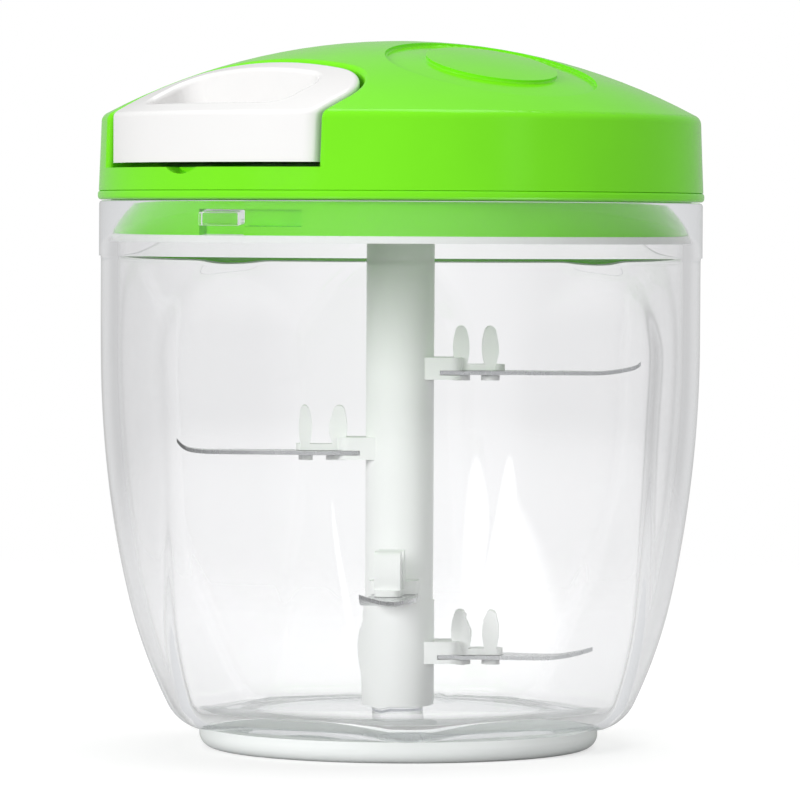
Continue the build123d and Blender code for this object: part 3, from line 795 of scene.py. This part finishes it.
def buildCord(sizes):
    height = sizes["height"]
    leadAngle = -90 - degrees(acos(sizes["windingRadius"] / sizes["bendDistance"]))
    coil = cordTube("cordCoil", windingPoints(sizes, leadAngle), sizes)
    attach(coil, "reel")
    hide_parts("cord_winding")
    start = Vector(tangentPoint(sizes, sizes["windingRadius"], leadAngle, 2 * sizes["radius"]))
    corner = Vector((0, -sizes["bendDistance"], height))
    stops = [start.lerp(corner, share) for share in sizes["leadStops"]]
    way = cordTube("cordLead", [start, *stops, corner, (0, -sizes["wallBack"], height)], sizes)
    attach(way, "lid")
    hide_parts("cord_lead")
    span = sizes["knotStart"] + sizes["knotOverlap"] - sizes["wallBack"]
    steps = sizes["stretchSteps"]
    straight = [(0, -sizes["wallBack"] - span * step / steps, height) for step in range(steps + 1)]
    stretch = cordTube("pullCord", straight, sizes)
    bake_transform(stretch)
    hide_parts("pull_cord")
    knot = cordTube("cordKnot", knotPoints(sizes), sizes, closed=True)
    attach(knot, "handle")
    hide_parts("cord_knot")


buildCord(cordSizes)
print("cord laid")


# Mainspring: its inner end lies round the arbor, so that the reel can turn about it

springSizes = {
    "outer": 21.15,
    "inner": 4.05,
    "perTurn": 1.8,
    "turns": 10,
    "perTurnSteps": 48,
    "tabReach": 22.7,
    "strip": 0.35,
    "width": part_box("mainspring")[1].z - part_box("mainspring")[0].z,
    "height": (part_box("mainspring")[1].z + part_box("mainspring")[0].z) / 2,
}


def buildSpring(sizes):
    points = [(-sizes["tabReach"], 0, 0)]
    for step in range(sizes["turns"] * sizes["perTurnSteps"] + 1):
        turns = step / sizes["perTurnSteps"]
        radius = max(sizes["inner"], sizes["outer"] - sizes["perTurn"] * turns)
        points.append((-radius * cos(2 * pi * turns), radius * sin(2 * pi * turns), 0))
    lineSettings = {"dimensions": "2D", "fill_mode": "NONE", "extrude": sizes["width"] / 2}
    strip = curvePiece("springStrip", points, "POLY", lineSettings, {})
    strip.location.z = sizes["height"]
    bpy.ops.object.transform_apply(location=True, rotation=False, scale=False)
    sheet = strip.modifiers.new("sheet", "SOLIDIFY")
    sheet.thickness = sizes["strip"] * mm
    sheet.offset = 0
    applyModifiers(strip)
    smoothPiece(strip)
    strip.data.materials.append(springSteel)
    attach(strip, "reel")
    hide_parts("mainspring")
    return strip


spring = buildSpring(springSizes)
print("spring coiled:", len(spring.data.polygons), "faces")


# Studio

studio = {
    "cameraAzimuth": 45.0,
    "cameraDistance": 1.2,
    "cameraHeight": 0.1096,
    "aimHeight": 0.0729,
    "lens": 257.0,
    "sensor": 36.0,
    "clipStart": 0.01,
    "clipEnd": 50.0,
    "roll": 0.3,
    "lampAim": 0.08,
    "cardHeight": 0.0005,
    "floorSize": 1.6,
    "floorShade": 0.5,
    "floorGlow": 0.6,
    "floorMirrorFar": 0.0,
    "floorMirrorNear": 1.6,
    "floorNear": 0.2,
    "floorFar": 0.7,
    "worldLight": 0.48,
    "wallStart": 0.998,
    "wallFull": 0.85,
    "wallLight": 0.64,
    "flagStart": 0.8,
    "flagFull": 0.45,
    "flagLight": 0.08,
    "mirrorFar": -0.8,
    "mirrorNear": 0.4,
    "worldMirrorFar": 0.5,
    "worldMirrorNear": 0.75,
}


def facing(place, aim):
    # stands at place and looks at aim
    return Matrix.Translation(place) @ (aim - place).to_track_quat("-Z", "Y").to_matrix().to_4x4()


def buildCamera(settings):
    turn = radians(settings["cameraAzimuth"])
    place = Vector((sin(turn), -cos(turn), 0)) * settings["cameraDistance"]
    place.z = settings["cameraHeight"]
    aim = Vector((0, 0, settings["aimHeight"]))
    camera = bpy.data.objects.new("camera", bpy.data.cameras.new("camera"))
    bpy.context.scene.collection.objects.link(camera)
    camera.matrix_world = facing(place, aim) @ Matrix.Rotation(radians(settings["roll"]), 4, "Z")
    camera.data.lens = settings["lens"]
    camera.data.sensor_width = settings["sensor"]
    camera.data.clip_start = settings["clipStart"]
    camera.data.clip_end = settings["clipEnd"]
    bpy.context.scene.camera = camera
    return turn


def seenDirectly(tree):
    # 1 for what the camera sees, straight or in gloss and clear plastic
    path = addNode(tree, "ShaderNodeLightPath").outputs
    straight = mathNode(tree, "MAXIMUM", path["Is Camera Ray"], path["Is Glossy Ray"])
    seen = mathNode(tree, "MAXIMUM", straight, path["Is Transmission Ray"])
    fresh = mathNode(tree, "LESS_THAN", path["Diffuse Depth"], 0.5)
    return mathNode(tree, "MULTIPLY", seen, fresh)


def seenInGloss(tree):
    # 1 for what is mirrored in a surface
    path = addNode(tree, "ShaderNodeLightPath").outputs
    return mathNode(tree, "MULTIPLY", path["Is Glossy Ray"], path["Is Reflection Ray"])


def rayReturn(tree):
    # -1 for a ray that leaves along the camera's view, 1 for one that comes straight back
    view = addNode(tree, "ShaderNodeNewGeometry").outputs["Incoming"]
    seen = addNode(
        tree,
        "ShaderNodeVectorTransform",
        {"vector_type": "VECTOR", "convert_from": "WORLD", "convert_to": "CAMERA"},
        {"Vector": view},
    )
    return addNode(tree, "ShaderNodeSeparateXYZ", sockets={"Vector": seen.outputs["Vector"]}).outputs["Z"]


def mirrorShade(tree, settings, far, near):
    # what a surface mirrors: one light from behind the object, another from the camera's side
    return rangeNode(tree, rayReturn(tree), settings["mirrorFar"], settings["mirrorNear"], far, near)


def sideShade(tree, settings):
    # 1 along the camera's view, falling to grey walls and dark flags for what is bent aside
    along = mathNode(tree, "ABSOLUTE", rayReturn(tree))
    wall = rangeNode(tree, along, settings["wallFull"], settings["wallStart"], settings["wallLight"], 1.0)
    flag = rangeNode(
        tree, along, settings["flagFull"], settings["flagStart"], settings["flagLight"], 1.0, smooth=False
    )
    return mathNode(tree, "MULTIPLY", wall, flag)


def buildFloor(settings):
    # pale paper that keeps the shadow near the object and runs out into the white backdrop
    deselectAll()
    bpy.ops.mesh.primitive_plane_add(size=settings["floorSize"])
    floor = bpy.context.object
    floor.name = "floor"
    material, tree = emptyMaterial("floorPaper")
    shade = settings["floorShade"]
    diffuse = addNode(tree, "ShaderNodeBsdfDiffuse", sockets={"Color": (shade, shade, shade, 1)})
    sides = mathNode(tree, "MULTIPLY", sideShade(tree, settings), settings["floorGlow"])
    mirrored = mirrorShade(tree, settings, settings["floorMirrorFar"], settings["floorMirrorNear"])
    shine = mixNode(tree, "FLOAT", seenInGloss(tree), sides, mirrored)
    strength = mathNode(tree, "MULTIPLY", seenDirectly(tree), shine)
    glow = addNode(tree, "ShaderNodeEmission", sockets={"Color": (1, 1, 1, 1), "Strength": strength})
    both = addNode(tree, "ShaderNodeAddShader", sockets={0: diffuse.outputs[0], 1: glow.outputs[0]})
    away = addNode(tree, "ShaderNodeVectorMath", {"operation": "LENGTH"}, {0: placeOn(tree)})
    fade = rangeNode(tree, away.outputs["Value"], settings["floorNear"], settings["floorFar"], 0.0, 1.0)
    clear = addNode(tree, "ShaderNodeBsdfTransparent")
    paper = mixShaders(tree, fade, both.outputs[0], clear.outputs[0])
    addNode(tree, "ShaderNodeOutputMaterial", sockets={"Surface": paper})
    floor.data.materials.append(material)


def buildWorld(settings):
    # white as the camera sees it; what clear plastic bends aside meets grey walls and dark flags
    world = bpy.data.worlds.new("studio")
    bpy.context.scene.world = world
    world.use_nodes = True
    tree = world.node_tree
    tree.nodes.clear()
    path = addNode(tree, "ShaderNodeLightPath").outputs
    mirrored = mirrorShade(tree, settings, settings["worldMirrorFar"], settings["worldMirrorNear"])
    dimmed = mixNode(tree, "FLOAT", seenInGloss(tree), sideShade(tree, settings), mirrored)
    backdrop = mathNode(tree, "MAXIMUM", dimmed, path["Is Camera Ray"])
    strength = mixNode(tree, "FLOAT", seenDirectly(tree), settings["worldLight"], backdrop)
    light = addNode(tree, "ShaderNodeBackground", sockets={"Color": (1, 1, 1, 1), "Strength": strength})
    addNode(tree, "ShaderNodeOutputWorld", sockets={"Surface": light.outputs[0]})


def buildLamp(name, turn, settings, lamp):
    # place is right, towards the camera and up, as seen from the camera
    right = Vector((cos(turn), sin(turn), 0))
    near = Vector((sin(turn), -cos(turn), 0))
    across, towards, up = lamp["place"]
    place = right * across + near * towards + Vector((0, 0, up))
    data = bpy.data.lights.new(name, "AREA")
    data.shape = "RECTANGLE"
    data.size, data.size_y = lamp["size"]
    data.energy = lamp["power"]
    light = bpy.data.objects.new(name, data)
    bpy.context.scene.collection.objects.link(light)
    light.matrix_world = facing(place, Vector((0, 0, settings["lampAim"])))
    light.visible_camera = False
    light.visible_glossy = lamp["inGloss"]
    light.visible_transmission = lamp["inGloss"]


def buildCard(name, turn, settings, look):
    # a glow that fades to its edge, by its own UV map
    deselectAll()
    bpy.ops.mesh.primitive_plane_add(size=1.0)
    card = bpy.context.object
    card.name = name
    swing = Matrix.Rotation(turn + radians(look["azimuth"]), 4, "Z")
    reach = Matrix.Translation((0, -look["distance"], settings["cardHeight"]))
    shape = Matrix.Diagonal((look["width"], look["length"], 1, 1))
    card.data.transform(swing @ reach @ shape)
    material, tree = emptyMaterial(name)
    sockets = {"Vector": placeOn(tree, "UV"), "Location": (-1, -1, 0), "Scale": (2, 2, 1)}
    spread = addNode(tree, "ShaderNodeMapping", sockets=sockets)
    away = addNode(tree, "ShaderNodeVectorMath", {"operation": "LENGTH"}, {0: spread.outputs["Vector"]})
    fade = rangeNode(tree, away.outputs["Value"], look["soft"], 1.0, look["strength"], 0.0)
    light = addNode(tree, "ShaderNodeEmission", sockets={"Strength": fade})
    clear = addNode(tree, "ShaderNodeBsdfTransparent")
    both = addNode(tree, "ShaderNodeAddShader", sockets={0: light.outputs[0], 1: clear.outputs[0]})
    addNode(tree, "ShaderNodeOutputMaterial", sockets={"Surface": both.outputs[0]})
    card.data.materials.append(material)
    for kind in ("camera", "diffuse", "transmission", "shadow"):
        setattr(card, f"visible_{kind}", False)


lamps = {
    "keyLamp": {"place": (-2.4, 2.4, 1.0), "size": (1.5, 1.5), "power": 89.0, "inGloss": False},
    "fillLamp": {"place": (1.9, 2.0, 0.63), "size": (0.5, 1.75), "power": 17.0, "inGloss": False},
    "topLamp": {"place": (0.25, -0.5, 3.13), "size": (2.25, 1.75), "power": 39.0, "inGloss": True},
}
# pale cards that lie on the table and show only in reflections
cards = {
    "narrowCard": {
        "azimuth": 27.0,
        "distance": 0.22,
        "width": 0.04,
        "length": 0.34,
        "soft": 0.5,
        "strength": 4.0,
    },
    "wideCard": {
        "azimuth": 47.0,
        "distance": 0.22,
        "width": 0.09,
        "length": 0.34,
        "soft": 0.6,
        "strength": 4.0,
    },
    "leftCard": {
        "azimuth": -26.0,
        "distance": 0.16,
        "width": 0.02,
        "length": 0.2,
        "soft": 0.4,
        "strength": 3.0,
    },
}
cameraTurn = buildCamera(studio)
buildFloor(studio)
buildWorld(studio)
for lampName, lampSettings in lamps.items():
    buildLamp(lampName, cameraTurn, studio, lampSettings)
for cardName, cardSettings in cards.items():
    buildCard(cardName, cameraTurn, studio, cardSettings)
bpy.context.scene.view_settings.view_transform = "Standard"
print("studio set")
